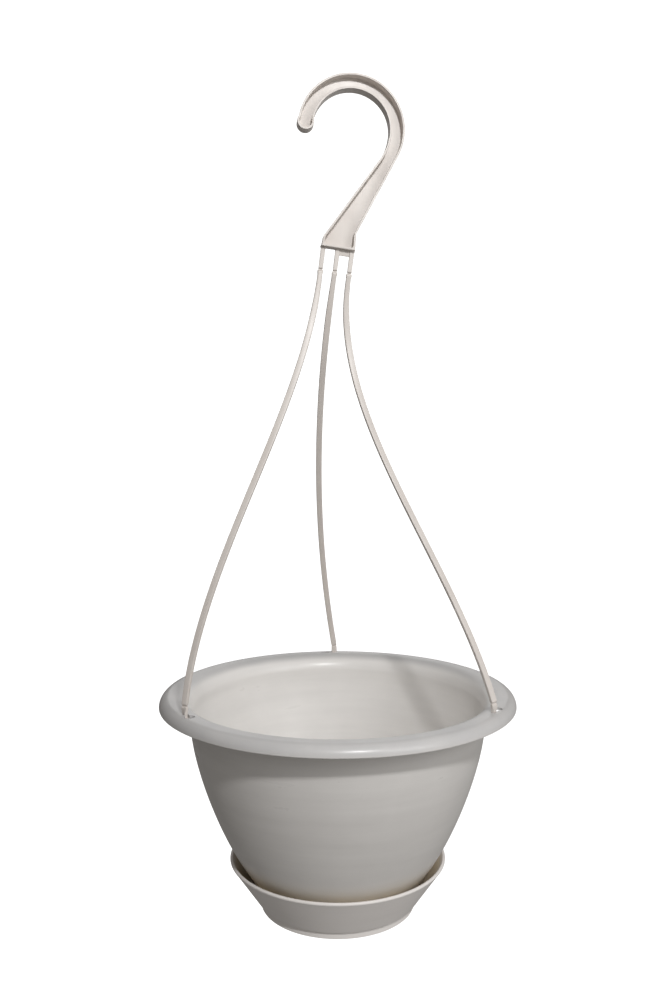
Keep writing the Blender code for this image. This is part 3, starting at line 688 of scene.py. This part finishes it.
# marks where the pot's painted glow goes
mark_inside(pot, RIM_TOP.z - 0.0005, RIM_TOP.z - 0.005, RIM_TOP.z - POT_FLOOR_DEPTH)
pot_plastic = moulded_plastic(
    "pot_plastic",
    OFF_WHITE,
    OFF_WHITE_SHADE,
    0.31,
    (9.0, 9.0, 120.0),
    grain=0.12,
    painted_light_bands=[
        (PAINTED_BOUNCE_TINT, RIM_TOP.z - 0.106, RIM_TOP.z - 0.132, 0.95),
        (RIM_PAINTED_SHADE, RIM_TOP.z - 0.010, RIM_TOP.z - 0.004, 0.7),
    ],
    inner=INSIDE_PAINTED_GLOW,
)
pot.data.materials.append(pot_plastic)
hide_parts("pot")
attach(pot, "pot")

# ---------------------------------------------------------------------------------------------------------------
# Saucer. A shallow dish of the same plastic, clipped under the pot by three pegs. A fine bead runs along its lip
# and a foot ring under its floor. Inside, a low ring carries the pot's floor, and a warm tint of painted bounce
# light is painted on the inside faces.

SAUCER_HEIGHT = 0.0361
SAUCER_BEAD = 0.0012
SAUCER_WALL = 0.0018
SAUCER_CORNER = 0.0012       # rounding where the wall meets the floor
SAUCER_EDGE = 0.0004
FLOOR_BREAK = 0.030          # a circle of points across the flat floor
REST_HEIGHT = 0.0032
FOOT_HEIGHT = 0.0055
LIP_GAP = 0.0059             # between the pot's wall and the lip
SAUCER_FLOOR_RADIUS = POT_FLOOR_RADIUS + 0.015
SAUCER_FLOOR = POT_UNDERSIDE - REST_HEIGHT
SAUCER_UNDERSIDE = SAUCER_FLOOR - SAUCER_WALL
SAUCER_BOTTOM = SAUCER_UNDERSIDE - FOOT_HEIGHT
LIP_RADIUS = BOWL_WAIST_RADIUS + POT_WALL + LIP_GAP + SAUCER_WALL
FOOT_RADIUS = SAUCER_FLOOR_RADIUS - 0.0032
FOOT_WIDTH = 0.0025
REST_RING = POT_FLOOR_RADIUS - 0.003
REST_HALF = 0.001            # half the rest ring's width
PEG_TOP = -POT_FLOOR_DEPTH + 0.003
PEG_TIP = 0.0011
SAUCER_WHITE = (0.86, 0.825, 0.795)
SAUCER_SHADE = (0.81, 0.775, 0.745)

bead = (LIP_RADIUS - SAUCER_BEAD, SAUCER_BOTTOM + SAUCER_HEIGHT - SAUCER_BEAD)
section = [(0.0, SAUCER_FLOOR), (FLOOR_BREAK, SAUCER_FLOOR)]
section += [(REST_RING - REST_HALF, z) for z in (SAUCER_FLOOR, POT_UNDERSIDE - GAP)]
section += [(REST_RING + REST_HALF, z) for z in (POT_UNDERSIDE - GAP, SAUCER_FLOOR)]
section += [(SAUCER_FLOOR_RADIUS - SAUCER_WALL - SAUCER_CORNER, SAUCER_FLOOR)]
section += [(SAUCER_FLOOR_RADIUS - SAUCER_WALL, SAUCER_FLOOR + SAUCER_CORNER)]
wall_foot = Vector(section[-1])
wall_head = Vector(on_circle(bead, SAUCER_BEAD, pi))
section += [tuple(wall_foot.lerp(wall_head, i / 8)) for i in range(1, 8)]
section += [tuple(p) for p in arc(bead, SAUCER_BEAD, pi, -pi / 3, 12)]
outer_head = Vector(section[-1])
outer_foot = Vector((SAUCER_FLOOR_RADIUS, SAUCER_UNDERSIDE + SAUCER_CORNER))
section += [tuple(outer_head.lerp(outer_foot, i / 8)) for i in range(1, 9)]
section += [(SAUCER_FLOOR_RADIUS - 0.0008, SAUCER_UNDERSIDE + 0.0002)]
section += [(FOOT_RADIUS, z) for z in (SAUCER_UNDERSIDE, SAUCER_BOTTOM)]
section += [(FOOT_RADIUS - FOOT_WIDTH, z) for z in (SAUCER_BOTTOM, SAUCER_UNDERSIDE)]
section += [(FLOOR_BREAK, SAUCER_UNDERSIDE), (0.0, SAUCER_UNDERSIDE)]
saucer = turned("saucer_dish", section, RIM_TOP.z, ROUND_STEPS)
soften(saucer, SAUCER_EDGE, 2, lambda e: crease(e) > radians(60))
for i in range(3):
    x, y = on_circle((0, 0), PEG_CIRCLE, i * 2 * pi / 3)
    base, tip = RIM_TOP.z + SAUCER_FLOOR - 0.0006, RIM_TOP.z + PEG_TOP
    bpy.ops.mesh.select_all(action="DESELECT")
    middle = (x, y, (base + tip) / 2)
    bpy.ops.mesh.primitive_cylinder_add(vertices=32, radius=PEG_RADIUS, depth=tip - base, location=middle)
    at_tip = lambda e: all(abs(v.co.z - tip) < 1e-6 for v in e.verts)
    soften(saucer, PEG_TIP, 4, lambda e: crease(e) > radians(80) and at_tip(e))
finish_piece(saucer, 32)
# marks where the saucer's painted bounce light goes
mark_inside(saucer, RIM_TOP.z + bead[1], RIM_TOP.z + bead[1] - 0.004, RIM_TOP.z + SAUCER_FLOOR)
saucer_plastic = moulded_plastic(
    "saucer_plastic",
    SAUCER_WHITE,
    SAUCER_SHADE,
    0.42,
    (9.0, 9.0, 120.0),
    grain=0.12,
    inner=PAINTED_BOUNCE_TINT,
)
saucer.data.materials.append(saucer_plastic)
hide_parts("saucer")
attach(saucer, "saucer")

# ---------------------------------------------------------------------------------------------------------------
# Studio. A plain white cove all round, its floor well below the basket, with a broad soft light from the upper
# front right, a smaller one near the camera for the glints on the rim, and gentle light from the other sides.

COVE_RADIUS = 6.0
COVE_FLOOR = -1.5
COVE_BEND = 1.5              # radius between its floor and its wall
profile = [(0.0, 0.0), (2.0, 0.0), (COVE_RADIUS - COVE_BEND, 0.0)]
profile += [tuple(p) for p in arc((COVE_RADIUS - COVE_BEND, COVE_BEND), COVE_BEND, -pi / 2, 0.0, 10)]
profile += [tuple(p) for p in arc((0.0, COVE_BEND), COVE_RADIUS, 0.0, pi / 2, 16)[1:]]
cove = turned("studio_cove", profile, COVE_FLOOR, 64)
finish_piece(cove, 60)
cove_white = bpy.data.materials.new("studio_white")
cove_white.use_nodes = True
paint = cove_white.node_tree.nodes["Principled BSDF"]
paint.inputs["Base Color"].default_value = (0.9, 0.9, 0.9, 1.0)
paint.inputs["Roughness"].default_value = 0.9
paint.inputs["Emission Color"].default_value = (1.0, 1.0, 1.0, 1.0)
paint.inputs["Emission Strength"].default_value = 1.0
cove.data.materials.append(cove_white)
cove.visible_diffuse = cove.visible_glossy = cove.visible_transmission = cove.visible_shadow = False

world = bpy.data.worlds.new("studio_air")
world.use_nodes = True
bpy.context.scene.world = world
air = world.node_tree.nodes
background = air["Background"]
direction = air.new("ShaderNodeTexCoord")
facing = value_node(air, "ShaderNodeVectorMath", {1: (0.80, -0.35, 0.30)}, operation="DOT_PRODUCT")
side_ramp = value_node(air, "ShaderNodeMapRange", {"From Min": -0.9, "From Max": 0.9})
shade_ramp = air.new("ShaderNodeValToRGB")
shade_ramp.color_ramp.elements[0].color = (0.13, 0.124, 0.118, 1.0)
shade_ramp.color_ramp.elements[1].color = (0.40, 0.392, 0.384, 1.0)
world.node_tree.links.new(direction.outputs["Generated"], facing.inputs[0])
world.node_tree.links.new(facing.outputs["Value"], side_ramp.inputs["Value"])
world.node_tree.links.new(side_ramp.outputs["Result"], shade_ramp.inputs["Fac"])
world.node_tree.links.new(shade_ramp.outputs["Color"], background.inputs["Color"])
background.inputs["Strength"].default_value = 1.0


def soft_light(name, azimuth, elevation, distance, size, power, aim):
    """An area light round the basket: azimuth 0 is the front, 90 is +X."""
    a, e = radians(azimuth), radians(elevation)
    away = Vector((sin(a) * cos(e), -cos(a) * cos(e), sin(e)))
    bpy.ops.object.light_add(type="AREA", location=aim + away * distance)
    lamp = bpy.context.object
    lamp.name = lamp.data.name = name
    lamp.data.shape = "DISK"
    lamp.data.size = size
    lamp.data.energy = power
    lamp.rotation_euler = away.to_track_quat("Z", "Y").to_euler()
    return lamp


bowl_middle = RIM_TOP + Vector((0.0, 0.0, -0.04))
soft_light("key_light", 45, 24, 1.6, 0.7, 4.6, bowl_middle)
soft_light("glint_light", 13, 38, 1.2, 0.09, 5.6, bowl_middle)
soft_light("back_light", 180, 20, 2.2, 1.4, 3.5, bowl_middle)

# ---------------------------------------------------------------------------------------------------------------
# Camera, level with the middle of the strands and tipped down a little to the pot.

CAMERA_HEIGHT = RIM_TOP.z + 0.18306
CAMERA_DISTANCE = 0.6745
CAMERA_TIP = 0.0686          # radians down from level
place, turn = (0.0, -CAMERA_DISTANCE, CAMERA_HEIGHT), (pi / 2 - CAMERA_TIP, 0.0, 0.0)
bpy.ops.object.camera_add(location=place, rotation=turn)
camera = bpy.context.object
camera.data.lens = 34.2
camera.data.sensor_width = 36.0
camera.data.shift_x = -0.00824
camera.data.clip_end = 30.0
bpy.context.scene.camera = camera
bpy.context.scene.view_settings.view_transform = "Standard"
